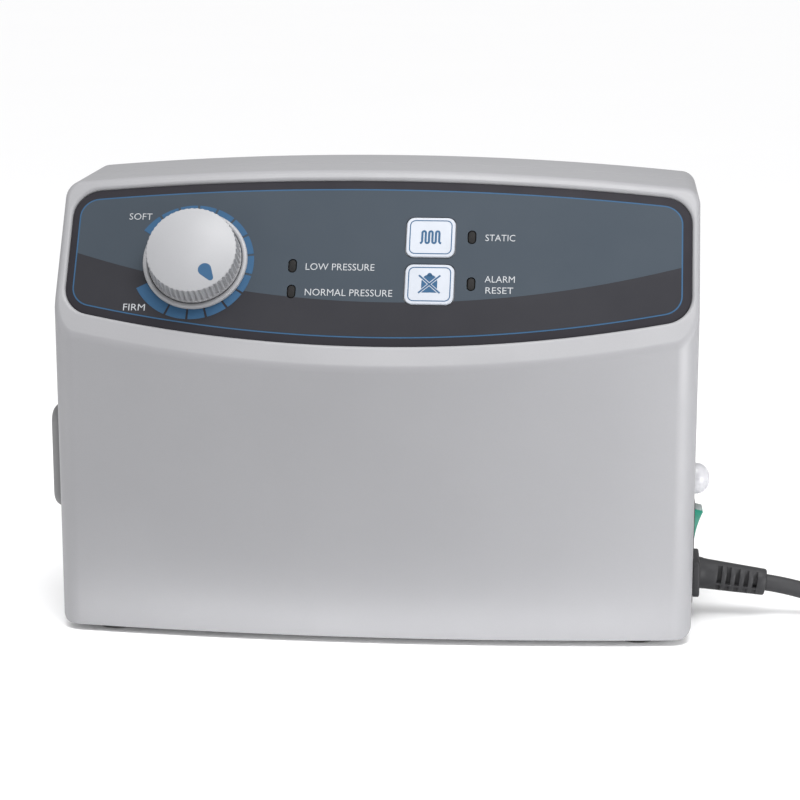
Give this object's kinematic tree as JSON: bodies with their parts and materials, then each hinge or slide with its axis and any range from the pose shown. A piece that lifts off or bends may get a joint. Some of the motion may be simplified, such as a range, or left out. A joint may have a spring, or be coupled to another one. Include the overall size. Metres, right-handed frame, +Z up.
{
  "type": "air mattress pump unit",
  "caption": "Box-shaped air pump and control unit of a pressure relief mattress, with sloped panel, knob, buttons, rocker switch, folding rear hooks and coiled power lead.",
  "frame": {"origin": "on the floor under the middle of the unit, measured without the power lead", "axes": "+X to the right seen from the front, -Y towards the front with the panel, +Z up"},
  "size_m": [0.5007, 0.1688, 0.204],
  "materials": {
    "shell_grey": "fine satin texture, moulded",
    "cover_grey": "satin",
    "panel_film": "satin printed film",
    "white_key": "satin",
    "dark_lens": "smoked, gloss",
    "knob_grey": "satin",
    "board_green": "solder mask",
    "steel": "plated",
    "copper": "enamelled copper wire",
    "cast_grey": "laminated and plated",
    "black_plastic": "satin",
    "black_rubber": "matt",
    "pale_nylon": "natural nylon",
    "clear_tube": "soft clear vinyl",
    "translucent_cap": "milky translucent",
    "rocker_green": "translucent, gloss",
    "foam_grey": "open-cell foam",
    "cord_black": "smooth vinyl jacket"
  },
  "bodies": {
    "case": {"front_case": "shell_grey", "rear_case": "shell_grey", "case_screw_1": "steel", "case_screw_2": "steel", "case_screw_3": "steel", "case_screw_4": "steel", "foot_front_left": "black_rubber", "foot_front_right": "black_rubber", "foot_rear_left": "black_rubber", "foot_rear_right": "black_rubber", "control_panel": "panel_film", "low_pressure_light": "dark_lens", "normal_pressure_light": "dark_lens", "static_light": "dark_lens", "alarm_light": "dark_lens", "knob_ring": "knob_grey", "potentiometer": "steel", "control_board": "board_green", "switch_frame": "black_plastic", "outlet_port": "pale_nylon", "mains_inlet": "black_plastic", "filter_foam": "foam_grey", "hook_pin_left": "steel", "hook_pin_right": "steel", "compressor_base": "cast_grey", "compressor_damper_1": "black_rubber", "compressor_damper_2": "black_rubber", "compressor_damper_3": "black_rubber", "compressor_damper_4": "black_rubber", "magnet_core": "cast_grey", "magnet_coil": "copper", "valve_head_left": "pale_nylon", "valve_head_right": "pale_nylon", "valve_body": "pale_nylon", "valve_motor": "cast_grey", "supply_hose": "clear_tube", "outlet_hose_a": "clear_tube", "outlet_hose_b": "clear_tube", "mains_connector": "black_plastic", "cord_lead": "cord_black", "cord_coil": "cord_black", "cord_tail": "cord_black", "mains_plug": "black_plastic"},
    "knob": {"pressure_knob": "knob_grey", "knob_shaft": "steel"},
    "static_key": {"static_button": "white_key"},
    "alarm_reset_key": {"alarm_reset_button": "white_key"},
    "rocker": {"power_rocker": "rocker_green"},
    "left_hook": {"hook_left": "shell_grey"},
    "right_hook": {"hook_right": "shell_grey"},
    "rotor": {"valve_rotor": "pale_nylon"},
    "left_arm": {"swing_arm_left": "steel", "arm_magnet_left": "cast_grey", "bellows_left": "black_rubber"},
    "right_arm": {"swing_arm_right": "steel", "arm_magnet_right": "cast_grey", "bellows_right": "black_rubber"},
    "filter_door": {"filter_cover": "cover_grey"},
    "outlet_cap": {"port_cap": "translucent_cap"}
  },
  "joints": [
    {"name": "knob_turn", "type": "hinge", "parent": "case", "child": "knob", "pos_m": [-0.0802, -0.03405, 0.16582], "axis": [0, -0.8377, 0.5461], "range_deg": [-77, 197]},
    {"name": "static_press", "type": "slide", "parent": "case", "child": "static_key", "axis": [0, 0.8377, -0.5461], "range_m": [0, 0.0005], "stiffness_N_per_m": 2000, "springref_m": -0.0003},
    {"name": "alarm_reset_press", "type": "slide", "parent": "case", "child": "alarm_reset_key", "axis": [0, 0.8377, -0.5461], "range_m": [0, 0.0005], "stiffness_N_per_m": 2000, "springref_m": -0.0003},
    {"name": "rocker_tilt", "type": "hinge", "parent": "case", "child": "rocker", "pos_m": [0.1382, -0.02195, 0.0465], "axis": [0, 1, 0], "range_deg": [-24, 0]},
    {"name": "hook_left_swing", "type": "hinge", "parent": "case", "child": "left_hook", "pos_m": [-0.1, 0.05875, 0.174], "axis": [0, 0, 1], "range_deg": [0, 90]},
    {"name": "hook_right_swing", "type": "hinge", "parent": "case", "child": "right_hook", "pos_m": [0.1, 0.05875, 0.174], "axis": [0, 0, -1], "range_deg": [0, 90]},
    {"name": "valve_turn", "type": "hinge", "parent": "case", "child": "rotor", "pos_m": [0.062, -0.005, 0.02], "axis": [0, 0, 1], "continuous": true},
    {"name": "arm_left_swing", "type": "hinge", "parent": "case", "child": "left_arm", "pos_m": [-0.0725, 0.022, 0.034], "axis": [0, 0, 1], "range_deg": [-1.5, 1.5], "stiffness_Nm_per_rad": 1},
    {"name": "arm_right_swing", "type": "hinge", "parent": "case", "child": "right_arm", "pos_m": [-0.0155, 0.022, 0.034], "axis": [0, 0, 1], "range_deg": [-1.5, 1.5], "stiffness_Nm_per_rad": 1},
    {"name": "filter_cover_pull", "type": "slide", "parent": "case", "child": "filter_door", "axis": [-1, 0, 0], "range_m": [0, 0.012]},
    {"name": "port_cap_pull", "type": "slide", "parent": "case", "child": "outlet_cap", "axis": [1, 0, 0], "range_m": [0, 0.014]}
  ],
  "couplings": [
    {"joint": "arm_right_swing", "follows": "arm_left_swing", "ratio": -1}
  ]
}
